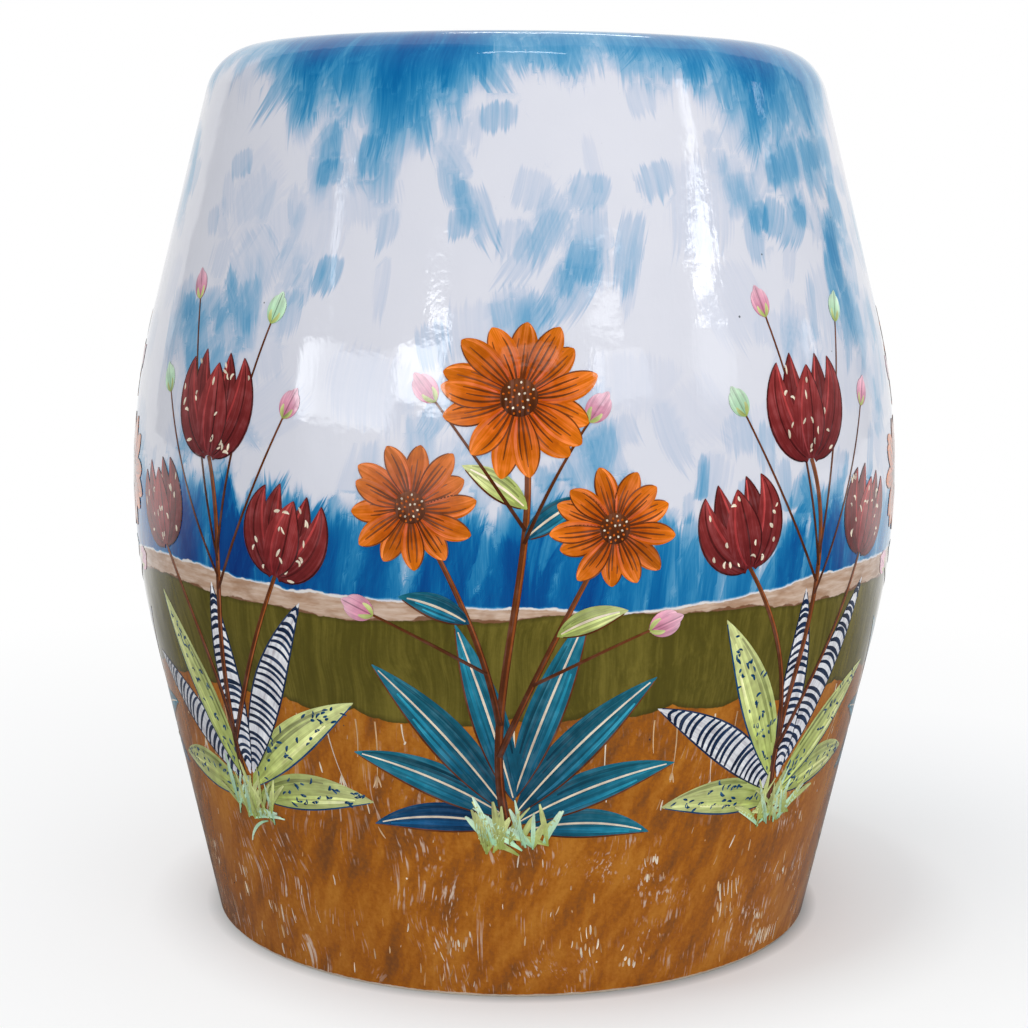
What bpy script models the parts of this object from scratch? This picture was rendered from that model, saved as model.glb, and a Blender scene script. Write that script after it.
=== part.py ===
"""Porcelain garden stool.

A barrel of two thrown sections stands on a turned foot ring and is closed by a slightly domed seat.
The rims of the sections are keyed with a V groove and a V tongue, and a coil of clay is pressed over
each seam from the inside. Lengths are in metres and +Z is up. The origin is the centre of the foot,
at floor level.
"""

import math

import bmesh
import bpy
from mathutils import Vector

# Outside of the barrel: two cones with a rounded waist, a rounded shoulder and a domed seat
HEIGHT = 0.450
FOOT_DIAMETER = 0.313
WAIST_DIAMETER = 0.4135  # of the sharp edge in which the two cones would meet
WAIST_HEIGHT = 0.2325  # of the same edge
WAIST_RADIUS = 0.350
SEAT_DIAMETER = 0.305  # of the sharp edge in which the upper cone would meet the seat
SEAT_RISE = 0.0076
SHOULDER_RADIUS = 0.029

# Walls
WALL_THICKNESS = 0.009
SEAT_THICKNESS = 0.012
SEAT_SKIRT = 0.020  # straight wall below the shoulder that belongs to the seat piece

# Foot ring
FOOT_HEIGHT = 0.024
FOOT_WIDTH = 0.017
FOOT_BEVEL = 0.0015

# Seams
JOINT_GAP = 0.0003  # thickness of the slip between two pieces
KEY_DEPTH_SHARE = 0.28  # depth and half width of a V groove, of the wall thickness
COIL_HEIGHT = 0.018
COIL_THICKNESS = 0.005

# Smoothness of the solids
SEGMENTS = 64
WAIST_STEPS = 5
SHOULDER_STEPS = 8
DOME_STEPS = 5
COIL_STEPS = 5
SHARP_ANGLE = math.radians(25)
WELD_DISTANCE = 0.000001

# Glazes and clay: base colour and roughness
PALE_GLAZE = ((0.70, 0.76, 0.86), 0.08)
OCHRE_GLAZE = ((0.40, 0.20, 0.04), 0.10)
BARE_CLAY = ((0.72, 0.62, 0.50), 0.75)


def moved_in(start, end, distance):
    """The line from start to end, moved towards the axis: a point on it and its direction."""
    along = (end - start).normalized()
    return start + distance * Vector((-along.y, along.x)), along


def at_height(line, height):
    """The point of a slanted line at a height."""
    point, along = line
    return point + along * ((height - point.y) / along.y)


def crossing(line, other):
    """The point in which two lines cross."""
    point, along = line
    other_point, other_along = other
    return point + along * ((other_point - point).cross(other_along) / along.cross(other_along))


def farthest_at(line, centre, distance):
    """The last point along a line that lies at a distance from a centre."""
    point, along = line
    offset = point - centre
    ahead = offset.dot(along)
    return point + along * (math.sqrt(ahead ** 2 - offset.length_squared + distance ** 2) - ahead)


def outward_angle(line):
    """The angle of a line's outward normal above the horizontal."""
    along = line[1]
    return math.atan2(-along.x, along.y)


def arc(centre, radius, start, end, steps):
    """Points on an arc between two angles, which are measured from the outward horizontal."""
    angles = [start + (end - start) * step / steps for step in range(steps + 1)]
    return [centre + radius * Vector((math.cos(angle), math.sin(angle))) for angle in angles]


# Corners of the outline, as radius and height
FOOT_EDGE = Vector((FOOT_DIAMETER / 2, 0.0))
WAIST_EDGE = Vector((WAIST_DIAMETER / 2, WAIST_HEIGHT))
SEAT_EDGE = Vector((SEAT_DIAMETER / 2, HEIGHT - SEAT_RISE))

# The waist is rounded about one centre, and its widest ring is where the two sections meet
WAIST_CENTRE = crossing(
    moved_in(FOOT_EDGE, WAIST_EDGE, WAIST_RADIUS),
    moved_in(WAIST_EDGE, SEAT_EDGE, WAIST_RADIUS),
)
WAIST_SEAM = WAIST_CENTRE.y

# The seat is a dome through its edge and its crown, and the shoulder blends it into the upper cone
DOME_RADIUS = (SEAT_EDGE.x ** 2 + SEAT_RISE ** 2) / (2 * SEAT_RISE)
DOME_CENTRE = Vector((0.0, HEIGHT - DOME_RADIUS))


def lower_cone(depth):
    """The lower cone's line, at a depth under the outer face."""
    return moved_in(FOOT_EDGE, WAIST_EDGE, depth)


def upper_cone(depth):
    """The upper cone's line, at a depth under the outer face."""
    return moved_in(WAIST_EDGE, SEAT_EDGE, depth)


def shoulder_centre(depth, dome_depth):
    """Centre of the shoulder's rounding, at a depth under the wall and one under the dome."""
    reach = DOME_RADIUS - dome_depth - (SHOULDER_RADIUS - depth)
    return farthest_at(upper_cone(SHOULDER_RADIUS), DOME_CENTRE, reach)


UPPER_ANGLE = outward_angle(upper_cone(0.0))
SHOULDER_START = shoulder_centre(0.0, 0.0).y + SHOULDER_RADIUS * math.sin(UPPER_ANGLE)
SEAT_SEAM = SHOULDER_START - SEAT_SKIRT
KEY_DEPTH = WALL_THICKNESS * KEY_DEPTH_SHARE


def lower_face(depth, bottom):
    """The lower section's face from a height up to the waist seam."""
    line = lower_cone(depth)
    waist = arc(WAIST_CENTRE, WAIST_RADIUS - depth, outward_angle(line), 0.0, WAIST_STEPS)
    return [at_height(line, bottom)] + waist


def upper_wall_run(depth, bottom, top):
    """The upper wall's face between two heights: the waist's rounding, and the cone above it."""
    radius = WAIST_RADIUS - depth
    rounding_end = WAIST_SEAM + radius * math.sin(UPPER_ANGLE)
    run = []
    if bottom < rounding_end:
        start = math.asin((bottom - WAIST_SEAM) / radius)
        end = UPPER_ANGLE if top > rounding_end else math.asin((top - WAIST_SEAM) / radius)
        run += arc(WAIST_CENTRE, radius, start, end, WAIST_STEPS)
    else:
        run.append(at_height(upper_cone(depth), bottom))
    if top > rounding_end:
        run.append(at_height(upper_cone(depth), top))
    return run


def seat_face(depth, dome_depth, bottom):
    """The seat's face from its skirt's rim, round the shoulder and over the dome to the crown."""
    centre = shoulder_centre(depth, dome_depth)
    from_dome = centre - DOME_CENTRE
    blend = math.atan2(from_dome.y, from_dome.x)
    shoulder = arc(centre, SHOULDER_RADIUS - depth, UPPER_ANGLE, blend, SHOULDER_STEPS)
    dome = arc(DOME_CENTRE, DOME_RADIUS - dome_depth, blend, math.pi / 2, DOME_STEPS)
    crown = Vector((0.0, HEIGHT - dome_depth))
    skirt = upper_wall_run(depth, bottom, shoulder[0].y)
    return skirt[:-1] + shoulder + dome[1:-1] + [crown]


def rim_key(outer, inner, depth):
    """The V of a rim, pointing down, from the outer side to the inner one."""
    middle = (outer + inner) / 2
    half_width = Vector((depth, 0.0))
    return [middle + half_width, middle - Vector((0.0, depth)), middle - half_width]


def material(name, finish):
    colour, roughness = finish
    made = bpy.data.materials.new(name)
    made.use_nodes = True
    shader = made.node_tree.nodes["Principled BSDF"]
    shader.inputs["Base Color"].default_value = (*colour, 1.0)
    shader.inputs["Roughness"].default_value = roughness
    shader.inputs["Metallic"].default_value = 0.0
    made.diffuse_color = (*colour, 1.0)
    return made


def turned(name, outline, finish, stool):
    """Turn a half section about the Z axis. It is open only where it starts and ends on the axis."""
    mesh = bpy.data.meshes.new(name)
    shape = bmesh.new()
    corners = [shape.verts.new((point.x, 0.0, point.y)) for point in outline]
    edges = [shape.edges.new(pair) for pair in zip(corners, corners[1:])]
    if outline[0].x > 0.0:
        edges.append(shape.edges.new((corners[-1], corners[0])))
    bmesh.ops.spin(
        shape,
        geom=corners + edges,
        cent=(0.0, 0.0, 0.0),
        axis=(0.0, 0.0, 1.0),
        dvec=(0.0, 0.0, 0.0),
        angle=math.tau,
        steps=SEGMENTS,
        use_merge=True,
    )
    bmesh.ops.remove_doubles(shape, verts=shape.verts, dist=WELD_DISTANCE)
    bmesh.ops.recalc_face_normals(shape, faces=shape.faces)
    shape.to_mesh(mesh)
    shape.free()
    mesh.shade_smooth()
    mesh.set_sharp_from_angle(angle=SHARP_ANGLE)
    mesh.materials.append(material(name + "_finish", finish))
    piece = bpy.data.objects.new(name, mesh)
    piece.parent = stool
    bpy.context.scene.collection.objects.link(piece)
    return piece


def foot_faces():
    """The foot ring's outer and inner faces, from the flat it stands on to its seam."""
    bevel = Vector((FOOT_BEVEL, 0.0))
    inner_edge = FOOT_EDGE - Vector((FOOT_WIDTH, 0.0))
    outer_cone = lower_cone(0.0)
    outer = [FOOT_EDGE - bevel, at_height(outer_cone, FOOT_BEVEL), at_height(outer_cone, FOOT_HEIGHT)]
    inner = [
        inner_edge + bevel,
        inner_edge + Vector((0.0, FOOT_BEVEL)),
        at_height(lower_cone(WALL_THICKNESS), FOOT_HEIGHT),
    ]
    return outer, inner


def ring_section(outer, inner, has_tongue):
    """The closed outline of a ring, whose faces run upwards. Its top rim has the groove."""
    groove = rim_key(outer[-1], inner[-1], KEY_DEPTH)
    tongue = rim_key(outer[0], inner[0], KEY_DEPTH - JOINT_GAP) if has_tongue else []
    return outer + groove + inner[::-1] + tongue[::-1]


def radius_on(face, height):
    """The radius of a face at a height, on the straight stretches between its points."""
    for low, high in zip(face, face[1:]):
        if low.y <= height <= high.y:
            return low.x + (high.x - low.x) * (height - low.y) / (high.y - low.y)
    raise ValueError("the face does not reach this height")


def coil_section(face, seam):
    """A coil pressed flat against a face over its seam, and rounded towards the hollow."""
    half_height = COIL_HEIGHT / 2
    heights = (seam - half_height, seam, seam + half_height)
    back = [Vector((radius_on(face, height) - JOINT_GAP, height)) for height in heights]
    middle = (back[0] + back[-1]) / 2
    upwards = (back[-1] - back[0]) / 2
    inwards = COIL_THICKNESS * Vector((-upwards.y, upwards.x)).normalized()
    angles = [math.pi * step / COIL_STEPS for step in range(1, COIL_STEPS)]
    bulge = [middle + upwards * math.cos(angle) + inwards * math.sin(angle) for angle in angles]
    return back + bulge


def build_stool():
    for old in list(bpy.data.objects):
        bpy.data.objects.remove(old, do_unlink=True)
    stool = bpy.data.objects.new("stool", None)
    bpy.context.scene.collection.objects.link(stool)

    above_foot = FOOT_HEIGHT + JOINT_GAP
    above_waist = WAIST_SEAM + JOINT_GAP
    above_seat_seam = SEAT_SEAM + JOINT_GAP

    foot_outer, foot_inner = foot_faces()
    lower_outer = lower_face(0.0, above_foot)
    lower_inner = lower_face(WALL_THICKNESS, above_foot)
    upper_outer = upper_wall_run(0.0, above_waist, SEAT_SEAM)
    upper_inner = upper_wall_run(WALL_THICKNESS, above_waist, SEAT_SEAM)
    seat_outer = seat_face(0.0, 0.0, above_seat_seam)
    seat_inner = seat_face(WALL_THICKNESS, SEAT_THICKNESS, above_seat_seam)
    seat_tongue = rim_key(seat_outer[0], seat_inner[0], KEY_DEPTH - JOINT_GAP)

    turned("foot_ring", ring_section(foot_outer, foot_inner, False), OCHRE_GLAZE, stool)
    turned("lower_wall", ring_section(lower_outer, lower_inner, True), OCHRE_GLAZE, stool)
    turned("upper_wall", ring_section(upper_outer, upper_inner, True), PALE_GLAZE, stool)
    turned("seat_top", seat_outer[::-1] + seat_tongue + seat_inner, PALE_GLAZE, stool)

    hollow_face = foot_inner + lower_inner + upper_inner + seat_inner
    turned("foot_seam_coil", coil_section(hollow_face, FOOT_HEIGHT), BARE_CLAY, stool)
    turned("waist_seam_coil", coil_section(hollow_face, WAIST_SEAM), BARE_CLAY, stool)
    turned("seat_seam_coil", coil_section(hollow_face, SEAT_SEAM), BARE_CLAY, stool)


build_stool()
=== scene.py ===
"""Looks of the porcelain garden stool: its glaze, its painted decoration, the studio and the camera."""

import math

import bpy
import numpy as np
from mathutils import Matrix, Vector


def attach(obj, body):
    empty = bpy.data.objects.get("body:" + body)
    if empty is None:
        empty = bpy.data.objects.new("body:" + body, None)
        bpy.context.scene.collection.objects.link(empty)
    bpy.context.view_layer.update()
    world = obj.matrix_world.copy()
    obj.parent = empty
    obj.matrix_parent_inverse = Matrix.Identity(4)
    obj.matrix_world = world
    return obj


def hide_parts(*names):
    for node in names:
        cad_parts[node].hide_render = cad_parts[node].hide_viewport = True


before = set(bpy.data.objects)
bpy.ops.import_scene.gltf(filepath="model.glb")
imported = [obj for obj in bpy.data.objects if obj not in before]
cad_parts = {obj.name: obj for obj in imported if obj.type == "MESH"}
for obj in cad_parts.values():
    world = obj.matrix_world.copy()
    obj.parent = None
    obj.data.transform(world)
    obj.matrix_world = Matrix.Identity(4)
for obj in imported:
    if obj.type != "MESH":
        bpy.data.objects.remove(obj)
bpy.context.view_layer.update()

# Outside of the barrel, as in the solids
HEIGHT = 0.450
FOOT_RADIUS = 0.1565
WAIST_RADIUS = 0.20675
WAIST_HEIGHT = 0.2325
WAIST_ROUNDING = 0.350
SEAT_RADIUS = 0.1525
SEAT_RISE = 0.0076
SHOULDER_ROUNDING = 0.029
WALL_THICKNESS = 0.009
SEAT_THICKNESS = 0.012
FOOT_HEIGHT = 0.024
FOOT_WIDTH = 0.017
FOOT_BEVEL = 0.0015
JOINT_GAP = 0.0003
KEY_DEPTH = 0.00252

# How deep the glaze lies under the outline of the solids, which leaves room for the painted strokes
ENAMEL_DEPTH = 0.00035

# Fineness of the visible meshes and of their bake layout
TURNS = 480
ROW = 0.0026
STROKE_STEP = 0.0020
LINE_STEP = 0.0019
HOLLOW_ROW = 0.012
SEAT_HOLLOW_ROW = 0.008
NORMAL_REACH = 0.0006
UV_STRIPS = 3
OUTER_SHARE = 0.80
THIN_STRIP = 0.012
BAKE_STRIP = 0.0010

# How deep a brush stroke is rooted in the wall, and its least width
STROKE_ROOT = 0.0003
LEAST_WIDTH = 0.0002

# Camera, fitted to the photograph
CAMERA_DISTANCE = 1.0772
CAMERA_HEIGHT = 0.3708
CAMERA_LENS = 72.28
CAMERA_PITCH = 0.1527
CAMERA_ROLL = 0.0062

# Decoration: heights of its bands on the wall
SAND_TOP = 0.1950
OLIVE_TOP = 0.1865
OLIVE_BOTTOM = 0.1430
BAND_WAVES = 16
PLANTS = 8
PLANT_FOOT = 0.080

# The wash. Its patches under the rim have limits for half their angle, their strength and their depth
RIM_HEIGHT = 0.4445
PATCHES = 5
PATCH_TURN = 4.33
FULL_PATCH = (0.36, 0.46), (0.80, 1.05), (0.090, 0.120)
SMALL_PATCH = (0.16, 0.24), (0.45, 0.75), (0.044, 0.074)

random = np.random.default_rng(29)
uniform, normal, integers = random.uniform, random.normal, random.integers


def moved_in(start, end, distance):
    """The line from start to end, moved towards the axis: a point on it and its direction."""
    along = (end - start) / np.hypot(*(end - start))
    return start + distance * np.array((-along[1], along[0])), along


def crossing(line, other):
    """The point in which two lines cross."""
    (point, along), (other_point, other_along) = line, other
    gap = other_point - point
    turn = along[0] * other_along[1] - along[1] * other_along[0]
    return point + along * (gap[0] * other_along[1] - gap[1] * other_along[0]) / turn


def farthest_at(line, centre, distance):
    """The last point along a line that lies at a distance from a centre."""
    point, along = line
    offset = point - centre
    ahead = offset @ along
    return point + along * (math.sqrt(ahead**2 - offset @ offset + distance**2) - ahead)


def lengths(points):
    """How far along a line each of its points lies."""
    return np.concatenate(((0.0,), np.cumsum(np.hypot(*np.diff(points, axis=0).T))))


class Outline:
    """The half section of a face of the barrel at a depth under its outside, measured along from the foot."""

    def __init__(self, depth, dome_depth):
        foot = np.array((FOOT_RADIUS, 0.0))
        waist = np.array((WAIST_RADIUS, WAIST_HEIGHT))
        seat = np.array((SEAT_RADIUS, HEIGHT - SEAT_RISE))
        dome_radius = (SEAT_RADIUS**2 + SEAT_RISE**2) / (2 * SEAT_RISE)
        dome_centre = np.array((0.0, HEIGHT - dome_radius))
        sides = (foot, waist), (waist, seat)
        waist_centre = crossing(*(moved_in(*side, WAIST_ROUNDING) for side in sides))
        lower, upper = (moved_in(*side, depth) for side in sides)
        low_angle = math.atan2(-lower[1][0], lower[1][1])
        high_angle = math.atan2(-upper[1][0], upper[1][1])
        cap = SHOULDER_ROUNDING - depth
        reach = dome_radius - dome_depth - cap
        shoulder = farthest_at(moved_in(waist, seat, SHOULDER_ROUNDING), dome_centre, reach)
        to_dome = shoulder - dome_centre
        blend = math.atan2(to_dome[1], to_dome[0])
        start = lower[0] - lower[1] * (lower[0][1] / lower[1][1])
        points = [start]
        for centre, radius, first, last, steps in (
            (waist_centre, WAIST_ROUNDING - depth, low_angle, high_angle, 160),
            (shoulder, cap, high_angle, blend, 160),
            (dome_centre, dome_radius - dome_depth, blend, math.pi / 2, 200),
        ):
            angles = np.linspace(first, last, steps)
            points += list(centre + radius * np.stack((np.cos(angles), np.sin(angles)), -1))
        self.points = np.array(points)
        self.points[-1, 0] = 0.0
        self.along = lengths(self.points)
        self.length = self.along[-1]
        self.waist = waist_centre[1]

    def at(self, along):
        """Radius, height and the outward normal's two parts at lengths along the outline."""
        (behind, low), (radius, height), (ahead, high) = (
            [np.interp(np.clip(place, 0.0, self.length), self.along, side) for side in self.points.T]
            for place in (along - NORMAL_REACH, along, along + NORMAL_REACH)
        )
        rise, run = high - low, ahead - behind
        size = np.hypot(rise, run)
        return radius, height, rise / size, -run / size

    def up_to(self, height):
        """Length along the outline to a height."""
        return np.interp(height, self.points[:, 1], self.along)

    def run(self, bottom, top, spacing):
        """Points and normals of the stretch between two heights."""
        first = self.up_to(bottom)
        last = self.length if top is None else self.up_to(top)
        along = np.linspace(first, last, max(2, round((last - first) / spacing) + 1))
        radius, height, out, up = self.at(along)
        return np.stack((radius, height), -1), np.stack((out, up), -1), along


OUTER = Outline(ENAMEL_DEPTH, 0.0)
INNER = Outline(WALL_THICKNESS, SEAT_THICKNESS)
WAIST_SEAM = OUTER.waist
SEAT_SEAM = 0.4026724
RIM = OUTER.up_to(RIM_HEIGHT)


def about_axis(radius, angle, height):
    """Points at a radius, an angle and a height from the axis."""
    return np.stack(np.broadcast_arrays(radius * np.cos(angle), radius * np.sin(angle), height), -1)


def straight(points):
    """A run of straight stretches, each with its own flat normal."""
    points = np.array(points)
    runs = []
    for start, end in zip(points, points[1:]):
        step = (end - start) / np.hypot(*(end - start))
        facing = np.array((step[1], -step[0]))
        runs.append((np.stack((start, end)), np.stack((facing, facing)), None))
    return runs


def turned_inward(run):
    """A face of the hollow: the same stretch, walked downwards, with its normal towards the axis."""
    points, normals, _ = run
    return points[::-1], -normals[::-1], None


def wrapped(angle):
    return (angle + math.pi) % math.tau - math.pi


class Wash:
    """The blue wash of the wall: brush marks, laid over each other and soaked into the glaze."""

    def __init__(self):
        self.marks = []

    def mark(self, angle, along, width, length, tone, lean, bend, rises=False, strength=1.0):
        """A mark that starts at a place on the wall and runs down from it, or up. Its looks are drawn from
        pairs: limits for width, length and tone, and a middle and a spread for lean and bend."""
        width = uniform(*width)
        if isinstance(length, tuple):
            length = uniform(*length)
        tone = strength * uniform(*tone)
        self.marks.append((angle, along, width, length, tone, normal(*lean), normal(*bend), rises))

    def anywhere(self, count, start, *looks):
        """Marks at any angle. start draws how far along the outline each one starts."""
        for _ in range(count):
            self.mark(uniform(0.0, math.tau), start(), *looks)

    def patches_under_rim(self):
        for patch in range(2 * PATCHES):
            full = patch % 2 == 0
            middle = PATCH_TURN + math.tau * (patch / 2 + uniform(-0.04, 0.04)) / PATCHES
            half, strength, depth = (uniform(*limits) for limits in (FULL_PATCH if full else SMALL_PATCH))
            for _ in range(110 if full else 38):
                offset = uniform(-1.0, 1.0)
                start = RIM + uniform(-0.006, 0.024)
                reach = depth * (1.0 - 0.45 * abs(offset) ** 1.6) * uniform(0.35, 1.10)
                place, length = (middle + half * offset, start), start - RIM + reach
                lean = 0.10 * offset, 0.10
                self.mark(*place, (0.013, 0.032), length, (0.10, 0.34), lean, (0.0, 2.2), strength=strength)
            # a darker pool where the brush was set down
            for _ in range(16 if full else 3):
                place = middle + half * uniform(-0.85, 0.85), RIM + uniform(0.004, 0.014)
                looks = (0.018, 0.044), (0.034, 0.070), (0.20, 0.48), (0.0, 0.10), (0.0, 2.0)
                self.mark(*place, *looks, strength=strength)

    def loose_groups(self):
        for group in range(104):
            large = group % 3 == 0
            angle, along = uniform(0.0, math.tau), OUTER.up_to(uniform(0.262, 0.418))
            strength = uniform(0.45, 1.0)
            lean, bend = (normal(0.0, 0.20), 0.12), (normal(0.0, 4.0), 2.5)
            length = (0.026, 0.068 if large else 0.048)
            for _ in range(integers(7, 15) if large else integers(1, 5)):
                place = angle + normal(0.0, 0.072 if large else 0.028), along + normal(0.0, 0.012)
                self.mark(*place, (0.011, 0.031), length, (0.10, 0.36), lean, bend, strength=strength)
        # broken strokes in the shadow of the rim's patches
        looks = (0.010, 0.028), (0.022, 0.060), (0.06, 0.32), (0.05, 0.22), (0.0, 4.0)
        for _ in range(200):
            angle = uniform(0.0, math.tau)
            if math.cos(PATCHES * (angle - PATCH_TURN)) >= uniform(-1.0, 0.4):
                self.mark(angle, OUTER.up_to(uniform(0.368, 0.416)), *looks)
        # very thin veils between them
        looks = (0.036, 0.080), (0.034, 0.080), (0.04, 0.11), (0.0, 0.3), (0.0, 3.0)
        self.anywhere(90, lambda: OUTER.up_to(uniform(0.255, 0.430)), *looks)

    def low_band(self):
        count = 420
        for turn in range(count):
            angle = math.tau * turn / count + normal(0.0, 0.012)
            swell = 0.5 + 0.5 * math.sin(5 * angle + 0.7) * math.sin(3 * angle + 2.0)
            top = 0.2330 + 0.018 * swell + uniform(-0.010, 0.013)
            foot = uniform(0.1820, 0.1870)
            looks = (0.008, 0.022), top - foot, (0.36, 1.20), (0.10, 0.12), (1.5, 3.0)
            self.mark(angle, OUTER.up_to(foot), *looks, True, 0.40 + 0.98 * swell)
        looks = (0.006, 0.014), (0.014, 0.034), (0.10, 0.36), (0.15, 0.20), (0.0, 4.0), True
        self.anywhere(150, lambda: OUTER.up_to(0.228 + uniform(-0.012, 0.012)), *looks)

    def seat_marks(self):
        looks = (0.014, 0.034), (0.026, 0.066), (0.08, 0.38), (0.0, 0.24), (0.0, 3.0)
        self.anywhere(190, lambda: RIM + uniform(0.004, 0.040), *looks)
        looks = (0.016, 0.036), (0.024, 0.056), (0.05, 0.22), (0.0, 0.5), (0.0, 4.0)
        self.anywhere(100, lambda: OUTER.length - uniform(0.012, 0.096), *looks)

    def at(self, angles, along):
        """The wash at points of the wall: what has soaked in, and the two marks that lie on top."""
        radius = np.maximum(OUTER.at(along)[0], 0.015)
        soak = np.zeros(len(angles))
        layers = [(np.zeros((len(angles), 3)), np.zeros((len(angles), 3))) for _ in range(2)]
        order = np.argsort(along)
        sorted_along = along[order]
        for number, (angle, start, width, length, tone, lean, bend, rises) in enumerate(self.marks):
            reach = length + 0.008
            low, high = (start - 0.006, start + reach) if rises else (start - reach, start + 0.006)
            low, high = np.searchsorted(sorted_along, (low, high))
            near = order[low:high]
            if not len(near):
                continue
            side = wrapped(angles[near] - angle) * radius[near]
            keep = np.abs(side) < width + 0.5 * length
            near, side = near[keep], side[keep]
            run = (along[near] - start) * (1.0 if rises else -1.0)
            across = side * math.cos(lean) - run * math.sin(lean)
            ahead = run * math.cos(lean) + side * math.sin(lean)
            # the mark bends and wavers, and thins out to its sides and ends
            across = across - bend * ahead**2 + 0.0007 * np.sin(120.0 * ahead + number)
            half, share = width / 2, ahead / length
            edge = ramp((half - np.abs(across)) / (0.70 * half))
            begin = ramp(share / 0.10 + 0.5) if rises else ramp(share / 0.40 + 0.06)
            cover = edge * begin * ramp((1.0 - share) / (0.42 if rises else 0.60))
            fade = tone * (1.15 - 0.45 * share if rises else 0.80 + 0.35 * share)
            np.add.at(soak, near, 0.34 * fade * cover)
            # where marks overlap, the stronger one shows, and each is known a little beyond its edges
            place, paint = layers[number % 2]
            above = (cover > 0.0) & (cover * tone >= 0.75 * paint[near, 0] * paint[near, 1])
            beside = (paint[near, 0] == 0.0) & (np.abs(across) < half + 0.004)
            take = above | beside
            at = near[take]
            place[at] = np.stack((across[take], ahead[take], np.full(len(at), float(number))), -1)
            paint[at, 0] = cover[take]
            paint[at, 1] = np.where(cover[take] > 0.0, 0.80 * fade[take], paint[at, 1])
        return soak, layers


def ramp(value):
    """A soft step from 0 to 1."""
    value = np.clip(value, 0.0, 1.0)
    return value * value * (3.0 - 2.0 * value)


wash = Wash()
wash.patches_under_rim()
wash.loose_groups()
wash.low_band()
wash.seat_marks()


def placed(name, data):
    """A new object in the scene."""
    piece = bpy.data.objects.new(name, data)
    bpy.context.scene.collection.objects.link(piece)
    return piece


def inset(share, margin):
    """A share of a strip of the bake layout, kept clear of its edges."""
    return margin + (1.0 - 2.0 * margin) * share


def make_mesh(name, points, faces, corner_normals, corner_uv, values):
    """A smooth mesh object with its own corner normals, bake layout and point attributes."""
    mesh = bpy.data.meshes.new(name)
    mesh.from_pydata(points.tolist(), [], faces)
    mesh.polygons.foreach_set("use_smooth", np.ones(len(mesh.polygons), bool))
    layer = mesh.uv_layers.new(name="OFBake")
    layer.data.foreach_set("uv", np.ascontiguousarray(corner_uv, np.float32).ravel())
    for key, (kind, data) in values.items():
        layer = mesh.attributes.new(key, kind, "POINT")
        field = {"FLOAT": "value", "FLOAT_VECTOR": "vector", "FLOAT_COLOR": "color"}[kind]
        layer.data.foreach_set(field, np.ascontiguousarray(data, np.float32).ravel())
    mesh.normals_split_custom_set(corner_normals.tolist())
    return placed(name, mesh)


def lathe(name, runs):
    """Turn a section about the Z axis. Each run has points, normals and, on the outside, its length along."""
    section = np.concatenate([runs[0][0]] + [run[0][1:] for run in runs[1:]])
    if np.allclose(section[0], section[-1]):
        section = section[:-1]
    rows, points, count = [], [], 0
    for radius, height in section:
        size = 1 if radius < 1e-7 else TURNS
        points.append(about_axis(radius, np.arange(size) * math.tau / TURNS, height))
        rows.append(count + np.arange(TURNS + 1) % size)
        count += size
    values = {key: ("FLOAT_VECTOR", np.zeros((count, 3))) for key in ("dab_a", "load_a", "dab_b", "load_b")}
    values |= {"soak": ("FLOAT", np.zeros(count)), "clay": ("FLOAT", np.ones(count))}

    # the outside is laid out in strips one over the other, and the rest in thin strips above them
    spans = [0.0 if run[2] is not None else THIN_STRIP + lengths(run[0])[-1] for run in runs]
    rest_at, index = OUTER_SHARE, 0
    turn = np.arange(TURNS)
    strip = turn * UV_STRIPS // TURNS
    faces, normals, coordinates = [], [], []
    for (line, facings, along), span in zip(runs, spans):
        span *= (1.0 - OUTER_SHARE) / sum(spans)
        if along is not None:
            rings = [np.unique(row) for row in rows[index : index + len(line)]]
            sizes = [len(ring) for ring in rings]
            angles = np.concatenate([np.arange(size) * math.tau / TURNS for size in sizes])
            soak, (first, second) = wash.at(angles, np.repeat(along, sizes))
            for (_, data), painted in zip(values.values(), (*first, *second, soak, 0.0)):
                data[np.concatenate(rings)] = painted
        shares = lengths(line) / lengths(line)[-1]
        for step in range(len(line) - 1):
            low, high = rows[index], rows[(index + 1) % len(rows)]
            corners = [(low, 0, 0), (low, 1, 0), (high, 1, 1), (high, 0, 1)]
            if low[0] == low[1]:
                corners = [(low, 0.5, 0), *corners[2:]]
            elif high[0] == high[1]:
                corners = [*corners[:2], (high, 0.5, 1)]
            faces += np.stack([row[turn + math.floor(shift)] for row, shift, _ in corners], -1).tolist()
            for_faces, for_map = [], []
            for _, shift, side in corners:
                place, share = turn + shift, shares[step + side]
                out, up = facings[step + side]
                for_faces.append(about_axis(out, place * math.tau / TURNS, up))
                if along is None:
                    across, level = place / TURNS, rest_at + span * inset(share, 0.04)
                else:
                    across = place * UV_STRIPS / TURNS - strip
                    level = OUTER_SHARE / UV_STRIPS * (strip + inset(share, 0.01))
                for_map.append(np.stack(np.broadcast_arrays(inset(across, 0.004), level), -1))
            normals.append(np.stack(for_faces, 1).reshape(-1, 3))
            coordinates.append(np.stack(for_map, 1).reshape(-1, 2))
            index += 1
        rest_at += span
    corner_data = np.concatenate(normals), np.concatenate(coordinates)
    return make_mesh(name, np.concatenate(points), faces, *corner_data, values)


def plug(socket, value):
    """Lead a wire into a socket, or set the socket to a value."""
    if isinstance(value, Wire):
        socket.id_data.links.new(value.socket, socket)
    else:
        socket.default_value = value


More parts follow.
